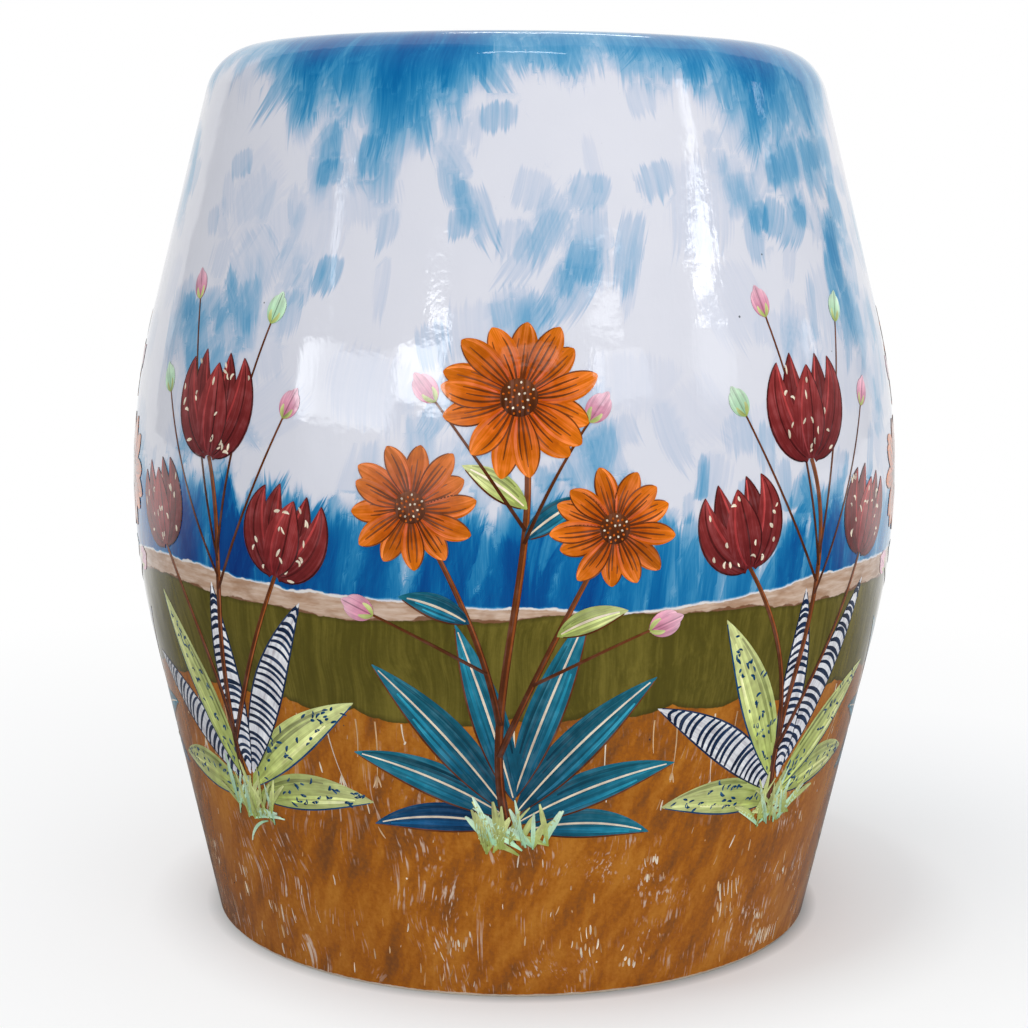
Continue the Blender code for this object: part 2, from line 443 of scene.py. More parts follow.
def made(kind, inputs=(), output=0, tree=None, **settings):
    """An output of a new shader node, in a given tree or in that of the wires that lead into it."""
    inputs = dict(inputs)
    if tree is None:
        tree = next(value.socket.id_data for value in inputs.values() if isinstance(value, Wire))
    node = tree.nodes.new("ShaderNode" + kind)
    for key, value in settings.items():
        setattr(node, key, value)
    for socket, value in inputs.items():
        plug(node.inputs[socket], value)
    return Wire(node.outputs[output])


def maths(operation, first, second=0.0, third=0.0):
    return made("Math", {0: first, 1: second, 2: third}, operation=operation)


def combine(x, y, z):
    return made("CombineXYZ", {0: x, 1: y, 2: z})


def mix(factor, first, second, blend="MIX"):
    values = [(*value, 1.0) if isinstance(value, tuple) else value for value in (factor, first, second)]
    return made("Mix", dict(zip((0, 6, 7), values)), 2, data_type="RGBA", blend_type=blend)


def attribute(tree, name, output="Vector"):
    return made("Attribute", output=output, tree=tree, attribute_name=name)


class Wire:
    """An output of a shader node, with the sums and patterns that are made from it."""

    def __init__(self, socket):
        self.socket = socket

    def __add__(self, other):
        return maths("ADD", self, other)

    def __radd__(self, other):
        return maths("ADD", other, self)

    def __sub__(self, other):
        return maths("SUBTRACT", self, other)

    def __rsub__(self, other):
        return maths("SUBTRACT", other, self)

    def __mul__(self, other):
        return maths("MULTIPLY", self, other)

    def __truediv__(self, other):
        return maths("DIVIDE", self, other)

    def __pow__(self, other):
        return maths("POWER", self, other)

    def __rpow__(self, other):
        return maths("POWER", other, self)

    def __abs__(self):
        return maths("ABSOLUTE", self)

    def beside(self, output):
        """Another output of the same node."""
        return Wire(self.socket.node.outputs[output])

    def split(self):
        parts = made("SeparateXYZ", {0: self})
        return [parts.beside(side) for side in range(3)]

    def vector(self, operation, other=(0.0, 0.0, 0.0), output=0):
        return made("VectorMath", {0: self, 1: other}, output, operation=operation)

    def level(self, low, high, start=0.0, end=1.0, **settings):
        """From start at low to end at high, and no further."""
        inputs = {"Value": self, "From Min": low, "From Max": high, "To Min": start, "To Max": end}
        return made("MapRange", inputs, **settings)

    def smooth(self, low, high):
        return self.level(low, high, interpolation_type="SMOOTHSTEP")

    def noise(self, scale, detail=2.0, roughness=0.5):
        inputs = {"Vector": self, "Scale": scale, "Detail": detail, "Roughness": roughness}
        return made("TexNoise", inputs, "Fac")

    def centred(self, scale, detail, size):
        """Noise about zero, of a size."""
        return (self.noise(scale, detail, 0.6) - 0.5) * size

    def waves(self, count, size, phase=0.0):
        return maths("SINE", maths("MULTIPLY_ADD", self, float(count), phase)) * size


def along_wall(place):
    """Coordinates in which a pattern is drawn out up and down the wall, and inwards on the seat."""
    x, y, z = place.split()
    flat = combine(x, y, 0.0)
    run = (z - flat.vector("LENGTH", output="Value")) * 0.045
    x, y, _ = flat.vector("NORMALIZE").split()
    bend = place.centred(17.0, 1.0, 0.030)
    return combine(x * 0.19 + bend, y * 0.19 - bend, run)


def flow(place):
    """The slow waves in the surface of the fired glaze, as a height in metres."""
    slow = place.centred(30.0, 1.0, 0.00062) + place.centred(120.0, 2.0, 0.00010)
    return slow + place.centred(520.0, 1.0, 0.000012)


# Colours of the glaze, of its bands and of the clay
GROUND = (0.665, 0.676, 0.742)
CLOUD = (0.700, 0.706, 0.764)
BLUE = (0.0167, 0.270, 0.545)
SAND = (0.470, 0.300, 0.200)
SAND_LIGHT = (0.640, 0.490, 0.390)
SAND_DARK = (0.300, 0.150, 0.070)
CHALK = (0.740, 0.710, 0.690)
OLIVE = (0.088, 0.072, 0.0075)
OLIVE_LIGHT = (0.178, 0.144, 0.0220)
OLIVE_DARK = (0.044, 0.035, 0.0040)
OCHRE = (0.345, 0.104, 0.0060)
OCHRE_LIGHT = (0.460, 0.172, 0.0180)
UMBER_GLAZE = (0.185, 0.062, 0.0130)
CLAY = (0.66, 0.56, 0.44)
CLAY_LIGHT = (0.78, 0.69, 0.57)
CLAY_DARK = (0.50, 0.40, 0.29)
BROWN = (0.150, 0.052, 0.016)
SPECK = (0.010, 0.024, 0.040)


def mark_depth(tree, letter):
    """How thick the blue of one layer of brush marks lies, with its bristle streaks and ragged ends."""
    across, ahead, number = attribute(tree, "dab_" + letter).split()
    cover, tone, _ = attribute(tree, "load_" + letter).split()
    shift = number * 7.31
    bristle = combine(across * 380.0, ahead * 16.0, shift).noise(1.0, 2.0, 0.6).level(0.28, 0.74)
    hair = combine(across * 1050.0, ahead * 30.0, shift).noise(1.0, 2.0).level(0.28, 0.72)
    grain = bristle * 0.55 + hair * 0.45
    start = grain * 0.72
    return cover.smooth(start, start + 0.30) * (0.95 + (0.5 - grain) * 1.15) * tone


def blue_depth(tree, lengthwise):
    """The whole depth of the blue: what has soaked in, and the two layers of marks."""
    soak = attribute(tree, "soak", "Fac")
    broad = lengthwise.noise(150.0, 3.0, 0.6).level(0.28, 0.72)
    grain = broad * 0.5 + lengthwise.noise(720.0, 2.0, 0.6).level(0.28, 0.72) * 0.5
    edge = grain * 0.09
    soaked = soak * soak.smooth(edge, edge + 0.14) * grain.level(0.0, 1.0, 1.40, 0.66)
    return soaked + mark_depth(tree, "a") + mark_depth(tree, "b")


def clay_look(place, mark):
    """Colour and height of the bare clay; mark is the larger pattern left by the making."""
    grit = place.noise(900.0, 3.0, 0.7)
    colour = mix(grit.level(0.3, 0.7), CLAY, CLAY_LIGHT)
    colour = mix(mark.level(0.35, 0.7, 0.0, 0.45), colour, CLAY_DARK)
    return colour, mark * 0.0006 + grit * 0.00012


def wall_look(tree, place, has_bands=True):
    """The glazed wall: a pale ground, the blue wash, the painted bands, specks, and bare clay at the lip."""
    x, y, z = place.split()
    lengthwise = along_wall(place)
    colour = mix(place.noise(16.0, 3.0, 0.55).level(0.3, 0.7), GROUND, CLOUD)
    depth = blue_depth(tree, lengthwise)

    if has_bands:
        angle = maths("ARCTAN2", y, x)
        height = z + (place.centred(48.0, 2.0, 0.0052) + place.centred(300.0, 2.0, 0.0011))
        sand_top = SAND_TOP + angle.waves(3, 0.0038, 2.6) + angle.waves(7, 0.0014, 0.6)
        olive_top = OLIVE_TOP + angle.waves(5, 0.0022, 2.0) + abs(angle.waves(8, 1.0)) * 0.0018
        scallops = abs(angle.waves(BAND_WAVES, 1.0)) ** 0.7
        olive_bottom = OLIVE_BOTTOM + angle.waves(5, 0.0020, 1.0) + scallops * -0.0034

        def under(edge, offset=0.0):
            """1 below an edge of the bands, 0 above it."""
            return (edge + offset - height).smooth(-0.0003, 0.0003)

        streak = lengthwise.noise(260.0, 2.0, 0.55).level(0.27, 0.73)
        hair = lengthwise.noise(800.0, 2.0, 0.6).level(0.27, 0.73)
        mottle = place.noise(520.0, 3.0, 0.7).level(0.3, 0.7)
        broken = place.noise(70.0, 3.0, 0.6)

        # the blue thins out just above the sand
        depth = depth * (height - sand_top).smooth(0.0003, 0.0019)

    # the blue lets through less red, the deeper it is
    depth = depth * 1.15 / (1.0 + depth * 0.26)
    red_depth = depth * 0.35 + depth**1.7 * 0.62
    parts = made("SeparateColor", {0: colour})
    through = [share**deep for share, deep in zip(BLUE, (red_depth, depth, depth))]
    colour = made("CombineColor", {side: parts.beside(side) * part for side, part in enumerate(through)})

    if has_bands:
        # a light line, then sand brushed along the wall
        ring = combine(x * 0.12, y * 0.12, z)
        worn = ring.vector("MULTIPLY", (3.0, 3.0, 1.0)).noise(190.0, 3.0, 0.6).level(0.48, 0.68)
        colour = mix(under(sand_top, broken.level(0.38, 0.66, -0.0003, 0.0014)), colour, CHALK)
        sand = mix(ring.noise(460.0, 3.0, 0.65).level(0.36, 0.66), SAND, SAND_LIGHT)
        colour = mix(under(sand_top), colour, mix(worn * 0.60, sand, SAND_DARK))
        line = under(olive_top, broken.level(0.36, 0.62, 0.0016, -0.0003))
        colour = mix(line * 0.85, colour, BROWN)

        # olive, dabbed on
        smear = place.vector("MULTIPLY", (1.0, 1.0, 0.22)).noise(42.0, 3.0, 0.6).level(0.3, 0.7)
        tone = smear * 0.42 + streak * 0.28 + hair * 0.22 + mottle * 0.08
        olive = mix(tone.level(0.20, 0.62), OLIVE_LIGHT, OLIVE)
        olive = mix(tone.level(0.62, 1.0, 0.0, 0.7), olive, OLIVE_DARK)
        olive = mix((height - olive_top).level(-0.0020, 0.0, 0.0, 0.6), olive, OLIVE_DARK)
        colour = mix(under(olive_top), colour, olive)
        colour = mix((height - olive_bottom).level(0.0, 0.0030, 0.75, 0.0), colour, OLIVE_DARK)

        # ochre, wiped down with a lean, with dry scratches in it
        turned = made("VectorRotate", {"Vector": place, "Angle": z * -2.5}, rotation_type="Z_AXIS")
        wiped = turned.vector("MULTIPLY", (1.0, 1.0, 0.26)).noise(74.0, 3.0, 0.6).level(0.3, 0.7)
        tone = wiped * 0.54 + streak * 0.15 + mottle * 0.23 + hair * 0.08
        ochre = mix(tone.level(0.22, 0.52), OCHRE_LIGHT, OCHRE)
        ochre = mix(tone.level(0.50, 0.82), ochre, UMBER_GLAZE)
        dash = place.noise(150.0, 2.0).level(0.44, 0.55) * z.level(0.13, 0.050, 0.16, 1.0)
        dry = lengthwise.vector("ADD", (0.7, 0.3, 0.1)).noise(640.0, 2.0, 0.6).level(0.55, 0.63)
        dry = dry * place.noise(27.0, 2.0).level(0.47, 0.60) * dash
        colour = mix(under(olive_bottom), colour, mix(dry, ochre, SAND_LIGHT))

    # small dark specks fired into the glaze
    speck = made("TexVoronoi", {"Vector": place, "Scale": 80.0}, "Color")
    size = speck.split()[0].level(0.55, 1.0, 0.0, 0.045)
    dot = (size - speck.beside("Distance")).smooth(-0.010, 0.004)
    colour = mix(dot * 0.80, colour, SPECK)

    # bare clay inside, and along the lip that the stool stands on
    lip = (z - place.noise(240.0, 2.0) * 0.0012).smooth(0.0011, 0.0006)
    bare = maths("MAXIMUM", attribute(tree, "clay", "Fac").smooth(0.4, 0.6), lip)
    clay, clay_height = clay_look(place, place.vector("MULTIPLY", (6.0, 6.0, 160.0)).noise(1.0))
    roughness = place.noise(24.0, 3.0).level(0.3, 0.7, 0.040, 0.075) + bare * 0.68
    glaze_height = (flow(place) + lengthwise.centred(420.0, 2.0, 0.000045)) * (1.0 - bare)
    return mix(bare, colour, clay), roughness, glaze_height + clay_height * bare


def seat_look(tree, place):
    """The glaze of the seat and the upper wall, above the bands."""
    return wall_look(tree, place, has_bands=False)


def enamel_look(tree, place):
    """The painted motifs: each brush stroke keeps its own pigment, laid on in streaks."""
    pigment = attribute(tree, "pigment", "Color")
    across, ahead, number = attribute(tree, "brush").split()
    shift = number * 5.17
    streak = combine(across * 620.0, ahead * 24.0, shift).noise(1.0, 2.0, 0.6).level(0.28, 0.74)
    hair = combine(across * 2200.0, ahead * 70.0, shift).noise(1.0, 1.0).level(0.3, 0.7)
    grain = streak * 0.45 + hair * 0.20 + place.noise(150.0, 2.0).level(0.32, 0.70) * 0.35
    dark = mix(1.0, pigment, (0.56, 0.50, 0.52), "MULTIPLY")
    light = mix(0.05, mix(1.0, pigment, (1.42, 1.42, 1.36), "MULTIPLY"), GROUND)
    colour = mix(grain.level(0.50, 0.95), mix(grain.level(0.10, 0.50), light, pigment), dark)
    return colour, place.noise(24.0, 3.0).level(0.3, 0.7, 0.040, 0.080), flow(place)


def coil_look(tree, place):
    """The bare clay of the coils inside, dimpled by the fingers that pressed them on."""
    colour, height = clay_look(place, place.noise(70.0))
    return colour, place.noise(300.0).level(0.3, 0.7, 0.68, 0.85), height


def new_material(name, look):
    """A material, with the colour, roughness and height that a look gives for its tree and a place."""
    material = bpy.data.materials.new(name)
    material.use_nodes = True
    tree = material.node_tree
    colour, roughness, height = look(tree, made("TexCoord", output="Object", tree=tree))
    shader = tree.nodes["Principled BSDF"].inputs
    plug(shader["Base Color"], colour)
    plug(shader["Roughness"], roughness)
    plug(shader["Normal"], made("Bump", {"Height": height, "Distance": 1.0}))
    return material


def sideways(path):
    """Unit vectors to the right of a path."""
    ahead = np.gradient(path, axis=0)
    ahead /= np.hypot(*ahead.T)[:, None]
    return np.stack((ahead[:, 1], -ahead[:, 0]), -1)


class Enamel:
    """Closed brush strokes that lie on the wall, gathered into one mesh."""

    def __init__(self):
        self.points, self.normals, self.pigment, self.brush = [], [], [], []
        self.faces, self.signs, self.sheet, self.cells = [], [], [], []
        self.count = 0

    def stroke(self, anchor, path, widths, colours, lift):
        """path is (sideways, upwards) in metres from an anchor (angle, length along the wall)."""
        path = np.asarray(path, float)
        widths = np.maximum(np.asarray(widths, float), LEAST_WIDTH)
        lanes = max(1, math.ceil(widths.max() / STROKE_STEP))
        offsets = widths[:, None] * np.linspace(-0.5, 0.5, lanes + 1)[None, :]
        flat = path[:, None, :] + offsets[:, :, None] * sideways(path)[:, None, :]
        length = lengths(path)
        share = length / length[-1]
        rows, wide = len(path), lanes + 1
        top, facing = self.on_wall(anchor, flat.reshape(-1, 2), lift)
        bottom, under = self.on_wall(anchor, flat[:, (0, -1), :].reshape(-1, 2), -STROKE_ROOT)
        grid = self.count + np.arange(rows * wide).reshape(rows, wide)
        low = self.count + rows * wide + np.arange(2 * rows).reshape(rows, 2)

        # a place in the bake layout is so many narrow strips, and a share of the stroke, each way
        sheet = np.ones((rows, wide, 4))
        sheet[..., 1], sheet[..., 3] = np.linspace(0.0, 1.0, wide), share[:, None]

        def edge(strips, across):
            return np.stack((np.full(rows, strips), np.full(rows, across), np.ones(rows), share), -1)

        bands = [
            ((grid[:, at], grid[:, at + 1]), (sheet[:, at], sheet[:, at + 1]), 1.0) for at in range(lanes)
        ]
        bands += [
            ((low[:, 0], grid[:, 0]), (edge(0.0, 0.0), sheet[:, 0]), 1.0),
            ((grid[:, -1], low[:, 1]), (sheet[:, -1], edge(2.0, 1.0)), 1.0),
            ((low[:, 1], low[:, 0]), (edge(2.0, 1.0), edge(3.0, 1.0)), -1.0),
        ]
        for (first, second), (here, there), sign in bands:
            self.faces += np.stack((first[:-1], second[:-1], second[1:], first[1:]), -1).tolist()
            self.sheet.append(np.stack((here[:-1], there[:-1], there[1:], here[1:]), 1).reshape(-1, 4))
            self.signs.append(np.full(4 * (rows - 1), sign))
        self.faces.append([*low[0], *grid[0, ::-1]])
        self.faces.append([*grid[-1], *low[-1, ::-1]])
        self.sheet += [[(1, 0, 0, 0), (1, 1, 0, 0)], sheet[0, ::-1], sheet[-1], [(1, 1, 2, 1), (1, 0, 2, 1)]]
        self.signs.append(np.ones(2 * (wide + 2)))
        corners = 4 * (rows - 1) * (lanes + 3) + 2 * (wide + 2)
        self.cells.append((widths.max(), length[-1], corners))

        tint = np.asarray(colours[0]) * (1 - share[:, None]) + np.asarray(colours[1]) * share[:, None]
        tint = np.concatenate((tint, np.ones((rows, 1))), -1)
        number = float(len(self.cells) % 997)
        for columns, repeats in ((offsets, wide), (offsets[:, (0, -1)], 2)):
            self.pigment.append(np.repeat(tint, repeats, axis=0))
            ids = np.full(rows * repeats, number)
            self.brush.append(np.stack((columns.ravel(), np.repeat(length, repeats), ids), -1))
        self.points += [top, bottom]
        self.normals += [facing, under]
        self.count += rows * (wide + 2)

    @staticmethod
    def on_wall(anchor, flat, lift):
        radius, height, out, up = OUTER.at(anchor[1] + flat[:, 1])
        angle = anchor[0] + flat[:, 0] / radius
        facing = about_axis(out, angle, up)
        return about_axis(radius, angle, height) + facing * lift, facing

    def finish(self, name, material):
        normals = np.concatenate(self.normals)
        corners = np.concatenate([np.array(face) for face in self.faces])
        corner_normals = normals[corners] * np.concatenate(self.signs)[:, None]
        cells, sheet = np.array(self.cells), np.concatenate(self.sheet)
        owner = np.repeat(np.arange(len(cells)), cells[:, 2].astype(int))
        corner, size = packed(cells[:, :2])
        layout = corner[owner] + BAKE_STRIP * sheet[:, (0, 2)] + size[owner] * sheet[:, (1, 3)]
        values = {
            "pigment": ("FLOAT_COLOR", np.concatenate(self.pigment)),
            "brush": ("FLOAT_VECTOR", np.concatenate(self.brush)),
        }
        piece = make_mesh(name, np.concatenate(self.points), self.faces, corner_normals, layout, values)
        piece.data.materials.append(material)
        return piece


def packed(sizes):
    """Corners and sizes of cells that stand in shelves on the unit square, as large as they fit."""
    order = np.argsort(-sizes[:, 1], kind="stable")
    low, high = 0.0, 60.0
    for _ in range(14):
        scale = (low + high) / 2
        cells = np.maximum(sizes * scale, 2.5 * BAKE_STRIP)
        taken = cells + (5.0 * BAKE_STRIP, 4.0 * BAKE_STRIP)
        corners = np.zeros_like(sizes)
        across = level = shelf = 0.0
        for cell in order:
            if across + taken[cell, 0] > 1.0:
                across, level, shelf = 0.0, level + shelf, 0.0
            corners[cell] = across, level
            across += taken[cell, 0]
            shelf = max(shelf, taken[cell, 1])
        if level + shelf <= 1.0:
            low, best = scale, (corners, cells)
        else:
            high = scale
    return best


def curve(start, direction, length, bend, steps):
    """A path that leaves start at an angle from upright and turns steadily by bend."""
    angles = direction + bend * np.linspace(0.0, 1.0, steps)
    moves = np.stack((np.sin(angles), np.cos(angles)), -1)[:-1] * (length / (steps - 1))
    return np.concatenate((np.array((start,)), np.array(start) + np.cumsum(moves, axis=0)))


# Colours of the painted strokes, each from where a stroke begins to where it ends
TEAL = ((0.002, 0.055, 0.105), (0.010, 0.170, 0.250))
DEEP_BLUE = ((0.001, 0.022, 0.070), (0.004, 0.075, 0.190))
NAVY = ((0.002, 0.009, 0.032), (0.005, 0.026, 0.080))
LIME = ((0.300, 0.370, 0.080), (0.560, 0.600, 0.260))
MINT = ((0.300, 0.560, 0.330), (0.600, 0.790, 0.590))
ORANGE = ((0.400, 0.045, 0.001), (0.620, 0.150, 0.004))
RED = ((0.120, 0.010, 0.012), (0.270, 0.032, 0.030))
PINK = ((0.560, 0.150, 0.270), (0.760, 0.450, 0.540))
CREAM = ((0.690, 0.570, 0.410), (0.760, 0.680, 0.560))
WHITE = ((0.690, 0.700, 0.750), (0.740, 0.745, 0.770))
BARK = ((0.065, 0.016, 0.004), (0.150, 0.040, 0.009))
UMBER = ((0.110, 0.022, 0.004), (0.190, 0.050, 0.008))
FAINT = ((0.400, 0.185, 0.060), (0.500, 0.270, 0.110))
TAN = ((0.540, 0.330, 0.160), (0.640, 0.450, 0.270))

# How high strokes lie over the glaze: the first, each one after it, fine work on it, and scratches
FIRST_LIFT, LEVEL_LIFT, DETAIL_LIFT, SCRATCH_LIFT = 0.00004, 0.0000088, 0.0000046, 0.00003
FLECK = 0.0036


def shaded(colours, amount=0.10):
    """The two ends of a stroke's colour, varied a little."""
    factor = 1.0 + normal(0.0, amount)
    return [np.clip(np.array(colour) * factor, 0.0, 0.9) for colour in colours]


def toned(colours, factor, add=0.0):
    return [np.clip(np.array(colour) * factor + add, 0.0, 0.9) for colour in colours]


def cosine_steps(steps):
    return (1.0 - np.cos(np.linspace(0.0, math.pi, steps))) / 2


class Painter:
    """The motifs of one plant, stroke over stroke: leaves, flowers and fine line work."""

    def __init__(self):
        self.leaves, self.flowers, self.leaf_lines, self.flower_lines = (Enamel() for _ in range(4))

    def begin(self, angle):
        """Start a plant at an angle round the wall, either as it is or mirrored."""
        self.level, self.anchor = 0, place_of(angle, PLANT_FOOT)
        self.flip = random.choice((-1.0, 1.0))

    def at(self, side, up):
        """A place near the one given, from the foot of the plant."""
        return np.array((self.flip * side + jitter(), up + jitter()))

    def shape(self, mesh, path, widths, colours):
        """A stroke that lies on all that was painted before it."""
        self.level += 1
        self.lines = self.leaf_lines if mesh is self.leaves else self.flower_lines
        self.path, self.widths = path, widths
        mesh.stroke(self.anchor, path, widths, shaded(colours), FIRST_LIFT + LEVEL_LIFT * self.level)

    def detail(self, path, width, colours, taper=0.7):
        """A fine stroke on the last shape."""
        widths = width * (1.0 - taper + taper * np.sin(np.linspace(0.25, 2.9, len(path))))
        lift = FIRST_LIFT + LEVEL_LIFT * self.level + DETAIL_LIFT
        self.lines.stroke(self.anchor, path, widths, shaded(colours), lift)

    def lane(self, share, first, last, *looks):
        """A fine stroke that runs with the last shape, at a share of its width from its middle."""
        rows = slice(first, last)
        self.detail(self.path[rows] + share * self.widths[rows, None] * sideways(self.path)[rows], *looks)

    def leaf(self, start, direction, length, width, bend, colours, kind="ribbed"):
        steps = max(10, round(length / LINE_STEP))
        path = curve(start, direction, length, bend, steps)
        share = np.linspace(0.0, 1.0, steps)
        widths = width * np.sin(math.pi * np.clip(share, 0.004, 0.996) ** 0.88) ** 0.85
        self.shape(self.leaves, path, widths, colours)
        side = 1 if bend > 0 else -1
        if kind == "barred":
            right = sideways(path)
            for place in np.arange(0.06, 0.95, 0.0042 / length):
                row = min(int(place * (steps - 1)), steps - 2)
                across = np.linspace(-1.0, 1.0, 12)[:, None]
                ahead = path[row + 1] - path[row]
                bow = (1.0 - across**2) * uniform(0.0012, 0.0028)
                bar = path[row] + across * (0.47 * widths[row]) * right[row] + bow * ahead / np.hypot(*ahead)
                self.detail(bar, uniform(0.0017, 0.0025), NAVY, 0.5)
        else:
            for offset, tone in ((-0.34, 0.55), (-0.18, 0.70), (0.14, 1.45), (0.30, 1.8)):
                first, last = integers(1, steps // 3), integers(2 * steps // 3, steps - 1)
                rest = first, last, 0.10 * width, toned(colours, tone)
                self.lane(side * (offset + normal(0.0, 0.03)), *rest)
        if kind == "ribbed":
            self.detail(path[1 : steps - 2], 0.0011, CREAM, 0.6)
        if kind == "flecked":
            self.flecks(round(0.42 * length / 0.001), DEEP_BLUE)
        ink = {"ribbed": BARK, "flecked": DEEP_BLUE, "barred": NAVY}[kind]
        for edge in (-1, 1) if kind == "barred" else (side,):
            self.lane(edge * 0.49, 1, -1, 0.0009, ink, 0.6)
        if kind == "barred":
            self.level += 1

    def flecks(self, count, colours):
        """Short marks strewn over the last shape."""
        path, widths, right = self.path, self.widths, sideways(self.path)
        for _ in range(count):
            row = integers(1, len(path) - 2)
            if widths[row] < 1.8 * FLECK:
                continue
            start = path[row] + uniform(-0.36, 0.36) * widths[row] * right[row]
            direction = math.atan2(*(path[row + 1] - path[row])) + normal(0.0, 0.5)
            mark = curve(start, direction, FLECK * uniform(0.6, 1.2), normal(0.0, 1.2), 5)
            self.detail(mark, FLECK * uniform(0.28, 0.48), colours, 0.9)

    def stem(self, points, width):
        """A stem through a few points, as one smooth stroke."""
        points = np.asarray(points, float)
        fine = np.linspace(0.0, 1.0, max(12, round(lengths(points)[-1] / LINE_STEP)))
        weights = np.polyfit(np.linspace(0.0, 1.0, len(points)), points, min(3, len(points) - 1))
        path = np.stack([np.polyval(weights[:, side], fine) for side in range(2)], -1)
        self.shape(self.leaves, path, np.linspace(width, 0.6 * width, len(path)), BARK)
        if width > 0.002:
            self.detail(path[1:-1] + 0.2 * width * sideways(path[1:-1]), 0.22 * width, toned(UMBER, 1.9))
        return path

    def petal(self, start, direction, length, width, bend, colours, fullness=1.35, roundness=0.62):
        share = cosine_steps(25)
        smooth_path = curve(start, direction, length, bend, 41)
        path = np.stack([np.interp(share, np.linspace(0.0, 1.0, 41), side) for side in smooth_path.T], -1)
        widths = width * np.sin(math.pi * np.clip(share, 0.002, 0.998) ** fullness) ** roundness
        self.shape(self.flowers, path, np.maximum(widths, 0.25 * width * (share < 0.2)), colours)

    def daisy(self, centre, radius, petals):
        """The petals at the back first. Neighbours lie on different levels, and the disc on top."""
        turn = uniform(0.0, math.tau)
        centre = np.array(centre)
        first = self.level
        for turned, petal in enumerate([*range(0, petals, 2), *range(1, petals, 2)]):
            direction = turn + math.tau * petal / petals + normal(0.0, 0.05)
            start = centre + 0.10 * radius * heading(direction)
            length = radius * uniform(0.84, 0.98)
            self.level = first + turned % 3 + (4 if petal % 2 else 0)
            self.petal(start, direction, length, 0.37 * radius, normal(0.0, 0.22), ORANGE)
            for offset in (-0.22, 0.0, 0.20):
                last = integers(13, 20)
                self.lane(offset + normal(0.0, 0.03), 1, last, 0.0010, UMBER, 0.8)
            self.lane(0.34, 7, 22, 0.0013, toned(ORANGE, 1.25, 0.03))
            self.lane(-0.48, 6, 22, 0.0007, UMBER)
        self.level = first + 7
        across = 2.0 * cosine_steps(13) - 1.0
        disc = centre + np.stack((np.zeros(13), 0.25 * radius * across), -1)
        self.shape(self.flowers, disc, 0.50 * radius * np.sqrt(1.0 - across**2), BARK)
        for spot in range(26):
            direction, reach = 2.4 * spot, 0.20 * radius * math.sqrt((spot + 0.5) / 26)
            mark = curve(centre + reach * heading(direction), direction, 0.0011, 0.0, 4)
            self.detail(mark, 0.0010, ORANGE if spot % 3 else CREAM, 0.9)

    def tulip(self, base, direction, height):
        """A cup of five pointed petals, the middle one in front."""
        side = np.array((math.cos(direction), -math.sin(direction)))
        for offset, lean, bend, share, wide, tone in (
            (-0.03, -0.42, 0.55, 1.00, 0.34, 0.70),
            (0.03, 0.42, -0.55, 0.98, 0.34, 0.70),
            (-0.04, -0.98, 1.30, 1.02, 0.38, 1.0),
            (0.04, 0.98, -1.30, 1.05, 0.38, 1.0),
            (0.0, 0.0, 0.08, 0.86, 0.46, 1.25),
        ):
            self.level += 1
            start = np.array(base) + offset * height * side
            size = height * share, wide * height
            self.petal(start, direction + lean, *size, bend, toned(RED, tone), 0.80, 0.85)
            edge = 1 if lean >= 0 else -1
            self.lane(edge * 0.47, 1, -1, 0.0008, toned(RED, 0.3))
            self.lane(edge * -0.25, 3, -3, 0.0012, toned(RED, 1.9))
            self.lane(edge * 0.10, 3, -4, 0.0010, toned(RED, 0.45))
            self.flecks(9, CREAM)

    def bud(self, centre, direction, size, colours):
        first = self.level
        for lean in (-0.45, 0.45, 0.0):
            length = size * (1.0 if lean else 1.15)
            self.petal(centre, direction + lean, length, 0.50 * size, -1.3 * lean, colours, 1.0)
            self.detail(self.path[3:-3], 0.0007, toned(colours, 0.6))
        for lean in (-0.8, 0.8):
            sepal = curve(centre, direction + lean, 0.50 * size, -1.1 * lean, 6)
            self.detail(sepal, 0.16 * size, LIME, 0.9)
        self.level = first

    def stalk(self, stem, up, tip, rise, width, size, colours):
        """A bud on a thin stalk that leaves a stem at a height."""
        start, tip = point_on(stem, up), self.at(*tip)
        middle = 0.62 * tip[0] + 0.38 * start[0] - 0.004 * np.sign(tip[0]), 0.5 * (start[1] + tip[1]) + rise
        path = self.stem((start, middle, tip), width)
        self.bud(path[-1], math.atan2(*(path[-1] - path[-3])), size, colours)

    def tuft(self, height):
        self.level, self.lines = self.level + 1, self.leaf_lines
        for _ in range(30):
            lean = normal(0.0, 0.55)
            start = (uniform(-0.017, 0.017), uniform(-0.006, 0.002))
            blade = curve(start, lean, height * uniform(0.5, 1.1), 0.5 * lean, 9)
            self.detail(blade, uniform(0.0016, 0.0036), LIME if random.random() < 0.6 else MINT, 0.95)


def place_of(angle, height):
    return angle, OUTER.up_to(height)


def jitter(amount=0.0015):
    return normal(0.0, amount)


def heading(direction):
    return np.array((math.sin(direction), math.cos(direction)))


def point_on(path, height):
    """The point of a stem at a height."""
    return path[np.argmin(np.abs(path[:, 1] - height))]


